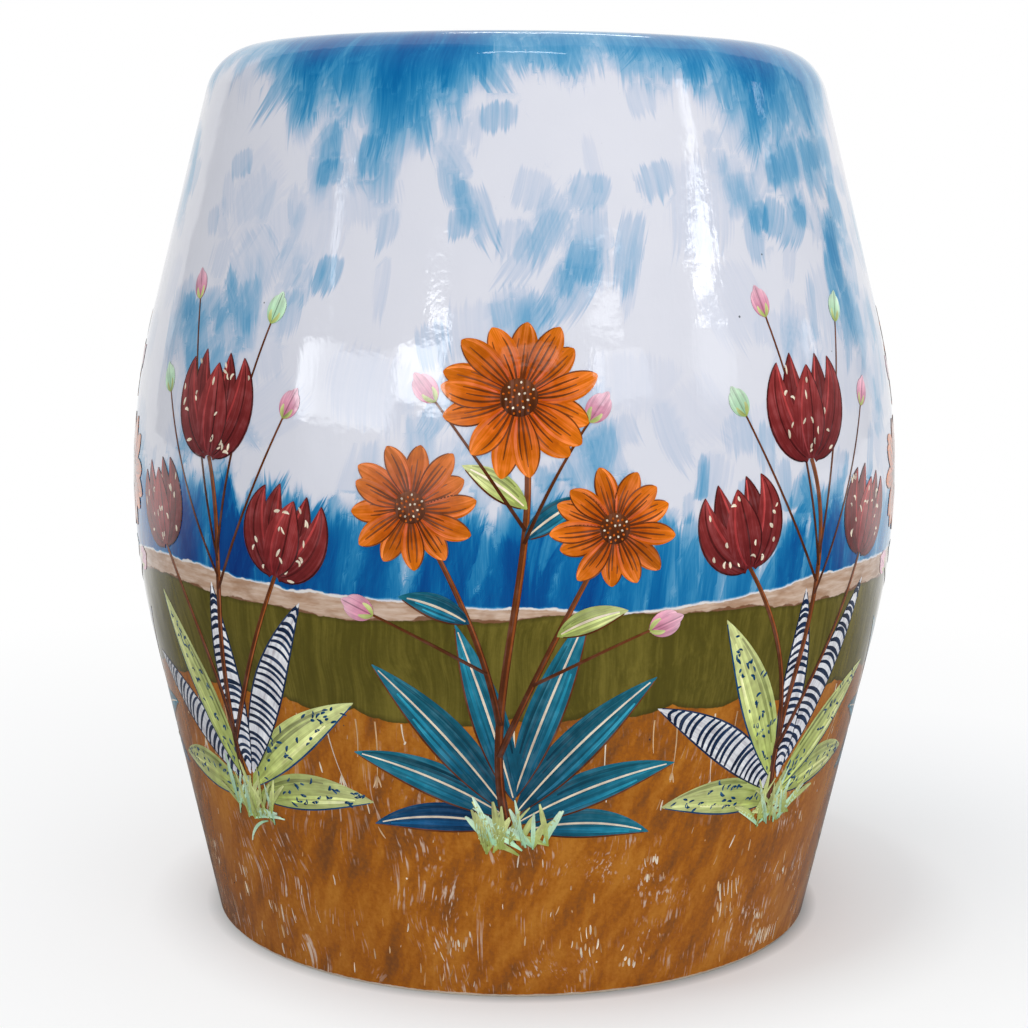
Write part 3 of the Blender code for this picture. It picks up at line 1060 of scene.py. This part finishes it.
def daisy_plant(painter):
    """Three orange blossoms over strap leaves in blue, with pink buds."""
    flip, at = painter.flip, painter.at
    for lean, length, width, *start in (
        (-1.32, 0.060, 0.0150, -0.004, 0.008),
        (1.30, 0.062, 0.0150, 0.004, 0.010),
        (-0.98, 0.080, 0.0180, -0.003, 0.012),
        (0.96, 0.078, 0.0175, 0.003, 0.014),
        (-0.62, 0.092, 0.0185, -0.002, 0.017),
        (0.58, 0.094, 0.0190, 0.002, 0.018),
        (-0.28, 0.098, 0.0165, -0.001, 0.021),
        (0.24, 0.090, 0.0160, 0.001, 0.024),
    ):
        colours = TEAL if random.random() < 0.55 else DEEP_BLUE
        painter.leaf(at(*start), flip * lean, length, width, flip * 0.50 * lean, colours)
    top, low, high = at(0.001, 0.209), at(-0.044, 0.150), at(0.047, 0.157)
    main = painter.stem(((0.0, 0.0), (0.005 * flip, 0.07), (-0.004 * flip, 0.14), top), 0.0042)
    left = painter.stem((point_on(main, 0.045), (-0.018 * flip, 0.100), low), 0.0032)
    right = painter.stem((point_on(main, 0.060), (0.020 * flip, 0.110), high), 0.0032)
    for stem, up, lean, colours in (
        (left, 0.102, -1.0, LIME),
        (right, 0.108, 1.0, TEAL),
        (main, 0.146, -0.8, TEAL),
        (main, 0.160, 0.8, LIME),
    ):
        painter.leaf(point_on(stem, up), flip * lean, 0.034, 0.0115, flip * 0.5 * lean, colours)
    level = painter.level
    for stem, up, tip, size in (
        (left, 0.080, (-0.060, 0.106), 0.0150),
        (right, 0.085, (0.062, 0.112), 0.0145),
        (main, 0.150, (0.034, 0.205), 0.0135),
        (main, 0.144, (-0.035, 0.198), 0.0135),
    ):
        painter.level = level + 1
        painter.stalk(stem, up, tip, 0.002, 0.0017, size, PINK)
    for centre, radius, petals in ((top, 0.0335, 15), (low, 0.0275, 13), (high, 0.0285, 13)):
        painter.level = level + 6
        painter.daisy(centre, radius, petals)
    painter.tuft(0.026)


def tulip_plant(painter):
    """Dark red cups flecked with cream, over barred and flecked leaves."""
    flip, at = painter.flip, painter.at
    for lean, length, width, *start, kind in (
        (-1.20, 0.068, 0.0185, -0.004, 0.008, "flecked"),
        (1.18, 0.070, 0.0185, 0.004, 0.009, "flecked"),
        (-0.80, 0.094, 0.0180, -0.003, 0.013, "barred"),
        (0.76, 0.090, 0.0185, 0.003, 0.015, "flecked"),
        (-0.42, 0.100, 0.0190, -0.002, 0.018, "flecked"),
        (0.40, 0.104, 0.0175, 0.002, 0.020, "barred"),
        (-0.04, 0.096, 0.0165, 0.000, 0.020, "barred"),
    ):
        colours = LIME if kind == "flecked" else WHITE
        painter.leaf(at(*start), flip * lean, length, width, flip * 0.45 * lean, colours, kind)
    top, low, high = at(-0.002, 0.176), at(-0.042, 0.130), at(0.042, 0.126)
    main = painter.stem(((0.0, 0.0), (-0.004 * flip, 0.06), (0.003 * flip, 0.12), top), 0.0042)
    painter.stem((point_on(main, 0.040), (-0.017 * flip, 0.085), low), 0.0033)
    painter.stem((point_on(main, 0.035), (0.018 * flip, 0.080), high), 0.0033)
    level = painter.level
    for up, tip, colours in (
        (0.118, (-0.044, 0.200), MINT),
        (0.112, (0.044, 0.196), PINK),
        (0.130, (0.028, 0.236), MINT),
        (0.126, (-0.026, 0.242), PINK),
    ):
        painter.level = level + 1
        painter.stalk(main, up, tip, 0.0, 0.0015, 0.0130, colours)
    for base, lean, height in ((top, 0.0, 0.050), (low, -0.26, 0.043), (high, 0.28, 0.043)):
        painter.level = level + 5
        painter.tulip(base, flip * lean, height)
    painter.tuft(0.024)


def comb_mark(enamel, anchor, start, lean, length, width, colours):
    """One pale scratch that runs down from a place."""
    if anchor[1] + start[1] - length < 0.003:
        return
    steps = 5 if length < 0.012 else 8
    path = curve(start, lean, length, normal(0.0, 0.20), steps)
    swell = width * (0.25 + 0.85 * np.sin(np.linspace(0.3, 2.85, steps)))
    enamel.stroke(anchor, path, swell, shaded(colours, 0.08), SCRATCH_LIFT)


def scratches(enamel):
    """Pale comb marks drawn through the ochre in clusters, and long threads that hang from the olive."""
    for _ in range(52):
        height = 0.010 + 0.066 * random.random() ** 1.3
        anchor = place_of(uniform(0.0, math.tau), height)
        lean = math.pi + jitter(0.10)
        spacing, length = uniform(0.0014, 0.0026), uniform(0.004, 0.010)
        for row in range(integers(1, 4)):
            count = integers(3, 9)
            for tooth in range(count):
                aside, down = (tooth - count / 2) * spacing, row * (length + 0.003)
                start = aside + jitter(0.0004), -down + jitter(0.0010)
                colours = (FAINT, TAN, CREAM, CREAM)[integers(4)]
                looks = lean + jitter(0.06), length * uniform(0.45, 1.15), uniform(0.0003, 0.0013)
                comb_mark(enamel, anchor, start, *looks, colours)
    for _ in range(420):
        height = 0.008 + 0.125 * random.random() ** 1.5
        anchor = place_of(uniform(0.0, math.tau), height)
        colours = (FAINT, TAN, CREAM)[integers(3)]
        looks = math.pi + jitter(0.18), uniform(0.001, 0.007), uniform(0.0003, 0.0009)
        comb_mark(enamel, anchor, (0.0, 0.0), *looks, colours)
    for turn in range(76):
        angle = math.tau * (turn + uniform(-0.3, 0.3)) / 76
        anchor = place_of(angle, 0.1375 + jitter(0.0008))
        length, lean = uniform(0.006, 0.040), math.pi + jitter(0.04)
        path = curve((0.0, 0.0), lean, length, normal(0.0, 0.15), 12)
        colours = TAN if turn % 3 else CREAM
        enamel.stroke(anchor, path, np.linspace(0.0008, 0.0003, 12), shaded(colours, 0.08), SCRATCH_LIFT)
        if length > 0.024:
            for side in (-1.0, -0.35, 0.4, 1.0):
                looks = math.pi + 0.30 * side, uniform(0.003, 0.008), 0.0007
                comb_mark(enamel, anchor, path[-1], *looks, colours)


def rim_v(outer_point, inner_point, depth):
    """The V of a keyed rim, pointing down, from the outer side to the inner one."""
    outer_point, inner_point = np.array(outer_point), np.array(inner_point)
    middle = (outer_point + inner_point) / 2
    half = np.array((depth, 0.0))
    return [outer_point, middle + half, middle - (0.0, depth), middle - half, inner_point]


def tongue(outer_point, inner_point):
    """The rim of an upper piece, from the inside out. Its glazed edge meets the piece below it."""
    gap = np.array((0.0, JOINT_GAP))
    back = np.array((JOINT_GAP, 0.0))
    points = rim_v(outer_point + gap - back, inner_point, KEY_DEPTH - JOINT_GAP)[::-1]
    return straight([*points, outer_point])


def ring_piece(name, bottom, top):
    """A ring of the wall: its outside, its grooved top rim, its inside and its bottom rim."""
    outer, inner = OUTER.run(bottom, top, ROW), INNER.run(bottom + JOINT_GAP, top, HOLLOW_ROW)
    groove = straight(rim_v(outer[0][-1], inner[0][-1], KEY_DEPTH))
    return lathe(name, [outer, *groove, turned_inward(inner), *tongue(outer[0][0], inner[0][0])])


def foot_piece(name):
    outer = OUTER.run(FOOT_BEVEL, FOOT_HEIGHT, ROW)
    hollow = INNER.run(FOOT_HEIGHT, WAIST_HEIGHT, HOLLOW_ROW)[0][0]
    inner_edge = FOOT_RADIUS - FOOT_WIDTH
    groove = straight(rim_v(outer[0][-1], hollow, KEY_DEPTH))
    lip = (inner_edge, FOOT_BEVEL), (inner_edge + FOOT_BEVEL, 0.0), (FOOT_RADIUS - FOOT_BEVEL, 0.0)
    return lathe(name, [outer, *groove, *straight([hollow, *lip, outer[0][0]])])


def seat_piece(name):
    outer = OUTER.run(SEAT_SEAM, None, ROW)
    inner = INNER.run(SEAT_SEAM + JOINT_GAP, None, SEAT_HOLLOW_ROW)
    return lathe(name, [turned_inward(inner), *tongue(outer[0][0], inner[0][0]), outer])


# The stool
wall_glaze = new_material("painted_glaze", wall_look)
seat_glaze = new_material("painted_glaze_seat", seat_look)
for piece, node, material, slot in (
    (foot_piece("foot_ring_glazed"), "foot_ring", wall_glaze, "ochre_glaze"),
    (ring_piece("lower_wall_glazed", FOOT_HEIGHT, WAIST_SEAM), "lower_wall", wall_glaze, "ochre_glaze"),
    (ring_piece("upper_wall_glazed", WAIST_SEAM, SEAT_SEAM), "upper_wall", seat_glaze, "pale_glaze"),
    (seat_piece("seat_top_glazed"), "seat_top", seat_glaze, "pale_glaze"),
):
    piece.data.materials.append(material)
    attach(piece, "root")
    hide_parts(node)

# The painted plants and comb marks
painter = Painter()
for plant in range(PLANTS):
    painter.begin(-math.pi / 2 + math.tau * plant / PLANTS)
    (tulip_plant if plant % 2 else daisy_plant)(painter)
combed = Enamel()
scratches(combed)
enamel = new_material("brushed_enamel", enamel_look)
for name, strokes, slot in (
    ("painted_leaves", painter.leaves, "pale_glaze"),
    ("painted_flowers", painter.flowers, "pale_glaze"),
    ("painted_leaf_lines", painter.leaf_lines, "pale_glaze"),
    ("painted_flower_lines", painter.flower_lines, "pale_glaze"),
    ("comb_marks", combed, "ochre_glaze"),
):
    piece = strokes.finish(name, enamel)
    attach(piece, "root")

# The coils inside keep their solids
coil_clay = new_material("coil_clay", coil_look)
for node in ("foot_seam_coil", "waist_seam_coil", "seat_seam_coil"):
    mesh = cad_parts[node].data
    mesh.materials.clear()
    mesh.materials.append(coil_clay)


# The studio: a white floor and backdrop, with shadow painted on the floor round the stool, soft lamps, and a
# darker room that only reflections see
FULL_WHITE = (1.0, 1.0, 1.0, 1.0)
ROOM_GLOW = 0.07
AIM = Vector((0.0, 0.0, 0.26))


def seen_directly(tree):
    """1 where the camera, a reflection or a view through glass looks, 0 for light that falls on things;
    then the same for reflections alone."""
    glossy = made("LightPath", output="Is Glossy Ray", tree=tree)
    either = maths("MAXIMUM", glossy, glossy.beside("Is Transmission Ray"))
    return maths("MAXIMUM", glossy.beside("Is Camera Ray"), either), glossy


def surface_material(name, surface):
    """A material without a glaze: its surface is what a function makes in its tree."""
    material = bpy.data.materials.new(name)
    material.use_nodes = True
    tree = material.node_tree
    tree.nodes.remove(tree.nodes["Principled BSDF"])
    plug(tree.nodes["Material Output"].inputs["Surface"], surface(tree))
    return material


def floor_surface(tree):
    seen, glossy = seen_directly(tree)
    place = made("TexCoord", output="Object", tree=tree)
    x, y, _ = place.split()

    def from_point(right, back):
        """Distance over the floor from a point of it."""
        return combine(x - right, y - back, 0.0).vector("LENGTH", output="Value")

    # painted shadow: the white of the floor is held back near the stool, a little to its right, and most of
    # all behind its right side
    painted_shadow_distance = from_point(0.026, 0.0)
    rise = painted_shadow_distance.level(0.150, 0.222, 0.0, 0.62) + painted_shadow_distance.level(0.21, 0.80, 0.0, 0.38)
    rise = rise + from_point(0.20, 0.12).level(0.02, 0.30, -0.52, 0.0)
    # painted contact shadow: a dark ring on the floor under the edge of the foot, seen by the camera and in
    # reflections
    painted_contact_shadow = from_point(0.0, 0.0).level(0.1545, 0.1640, 0.60, 0.0)
    shade = 0.78 + seen * 0.16 + glossy * -0.66
    shade = shade * place.noise(3.0).level(0.3, 0.7, 0.985, 1.0) * (1.0 - painted_contact_shadow * seen)
    near = made("BsdfDiffuse", {"Color": combine(shade * 0.985, shade, shade * 1.012)})
    strength = 1.0 - glossy * (0.90 - y.smooth(0.0, 0.8) * 0.90)
    white = made("Emission", {"Color": FULL_WHITE, "Strength": strength})
    return made("MixShader", {0: rise * seen, 1: near, 2: white})


bpy.ops.mesh.primitive_circle_add(vertices=128, radius=6.0, fill_type="NGON")
floor = bpy.context.object
floor.name = "studio_floor"
floor.data.materials.append(surface_material("studio_floor", floor_surface))

world = bpy.data.worlds.new("studio")
bpy.context.scene.world = world
world.use_nodes = True
backdrop = world.node_tree.nodes["Background"]
backdrop.inputs["Color"].default_value = (0.98, 0.985, 1.0, 1.0)
backdrop.inputs["Strength"].default_value = 0.74
white = made("Background", {"Color": FULL_WHITE, "Strength": 1.0}, tree=world.node_tree)
seen, _ = seen_directly(world.node_tree)
mixed = made("MixShader", {0: seen, 1: Wire(backdrop.outputs[0]), 2: white})
plug(world.node_tree.nodes["World Output"].inputs["Surface"], mixed)


def away(azimuth, elevation):
    """Direction from the stool. Azimuth 0 is the camera's side, and 90 is its right."""
    azimuth, elevation = math.radians(azimuth), math.radians(elevation)
    flat = math.cos(elevation)
    return Vector((math.sin(azimuth) * flat, -math.cos(azimuth) * flat, math.sin(elevation)))


# Soft rectangular lamps that face the stool. A mirrored one only shows in the glaze.
for name, azimuth, elevation, distance, width, height, radiance, mirrored in (
    ("front_fill", 21.0, 30.0, 2.6, 2.0, 1.6, 2.40, False),
    ("top_fill", 0.0, 84.0, 2.4, 2.4, 2.4, 0.5, False),
    ("strip_above", 4.0, 76.0, 2.0, 0.70, 0.06, 9.0, True),
    ("strip_behind", 176.0, 43.0, 2.2, 0.60, 0.10, 5.0, True),
):
    towards = away(azimuth, elevation)
    light = bpy.data.lights.new(name, "AREA")
    light.shape = "RECTANGLE"
    light.size, light.size_y = width, height
    light.energy = radiance * math.pi * width * height
    lamp = placed(name, light)
    lamp.location = AIM + towards * distance
    lamp.rotation_euler = (-towards).to_track_quat("-Z", "Y").to_euler()
    lamp.visible_glossy, lamp.visible_diffuse = mirrored, not mirrored


def room_glow(azimuth, elevation):
    """The room is dark in front and gets lighter towards the back."""
    turned = np.abs(azimuth)
    return ROOM_GLOW + 0.35 * ramp((turned - 80.0) / 50.0) + 0.22 * ramp((elevation - 30.0) / 40.0)


def window_glow(azimuth, elevation):
    """Two window panes on the left, a narrow one on the right and small gleams between them."""

    def pane(left, right, low, high, blur=0.8):
        sides = ramp((azimuth - left) / blur + 0.5) * ramp((right - azimuth) / blur + 0.5)
        return sides * ramp((elevation - low) / blur + 0.5) * ramp((high - elevation) / blur + 0.5)

    streaks = 0.80 + 0.20 * np.sin(7.3 * azimuth) * np.sin(3.1 * azimuth + 1.0)
    left_edge, right_edge = ramp((-56.0 - azimuth) / 6.0), ramp((27.0 - azimuth) / 4.0)
    glow = ROOM_GLOW
    for strength, *limits in (
        (streaks * (4.2 + 4.5 * left_edge), -64.0, -34.0, 7.0, 18.5, 1.2),
        (8.0, -33.5, -19.5, 12.0, 21.0),
        (8.0, -26.0, -20.5, 23.0, 25.5),
        (1.0, -60.0, -12.0, -4.0, 12.0, 8.0),
        (streaks * (2.2 + 4.0 * right_edge), 22.0, 38.0, 11.5, 21.0, 1.5),
        (3.6, 22.5, 33.0, 23.4, 25.6, 1.2),
        (1.6 * streaks, -4.0, 11.0, 18.5, 21.0, 1.5),
        (5.0, -60.0, -57.5, 21.5, 26.0, 1.0),
        (8.0, 56.0, 66.0, 21.2, 24.4, 1.2),
        (5.5, 60.5, 64.0, 24.0, 31.0, 1.2),
        (1.8, 54.0, 66.0, 10.0, 21.0, 4.0),
        (3.0, 95.0, 98.5, 21.5, 25.0, 1.0),
        (2.5, 95.5, 98.0, 11.0, 14.0, 1.0),
    ):
        glow = glow + strength * pane(*limits)
    return glow


def card_surface(tree):
    return made("Emission", {"Color": (0.94, 0.97, 1.0, 1.0), "Strength": attribute(tree, "glow", "Fac")})


# Parts of a sphere round the stool that only reflections see, with a glow of their own at each point
for name, azimuths, elevations, distance, step, glow_at in (
    ("studio_room", (-130.0, 130.0), (-3.0, 87.0), 3.6, 5.0, room_glow),
    ("studio_windows", (-70.0, 70.0), (-6.0, 33.0), 2.3, 0.4, window_glow),
    ("studio_gleams", (94.0, 100.0), (10.0, 26.0), 2.3, 0.4, window_glow),
):
    across, upward = (np.arange(first, last + step / 2, step) for first, last in (azimuths, elevations))
    azimuth, elevation = np.meshgrid(across, upward)
    points = [tuple(AIM + distance * away(*angles)) for angles in zip(azimuth.ravel(), elevation.ravel())]
    at = np.arange(azimuth.size).reshape(azimuth.shape)
    faces = np.stack((at[:-1, :-1], at[:-1, 1:], at[1:, 1:], at[1:, :-1]), -1).reshape(-1, 4).tolist()
    mesh = bpy.data.meshes.new(name)
    mesh.from_pydata(points, [], faces)
    glow = mesh.attributes.new("glow", "FLOAT", "POINT")
    glow.data.foreach_set("value", np.ascontiguousarray(glow_at(azimuth, elevation), np.float32).ravel())
    mesh.materials.append(surface_material(name, card_surface))
    card = placed(name, mesh)
    card.visible_camera = card.visible_diffuse = card.visible_shadow = card.visible_transmission = False

camera = placed("camera", bpy.data.cameras.new("camera"))
camera.data.sensor_width = 36.0
camera.data.lens = CAMERA_LENS
camera.matrix_world = (
    Matrix.Translation((0.0, -CAMERA_DISTANCE, CAMERA_HEIGHT))
    @ Matrix.Rotation(math.pi / 2 - CAMERA_PITCH, 4, "X")
    @ Matrix.Rotation(CAMERA_ROLL, 4, "Z")
)
bpy.context.scene.camera = camera
bpy.context.scene.view_settings.view_transform = "Standard"
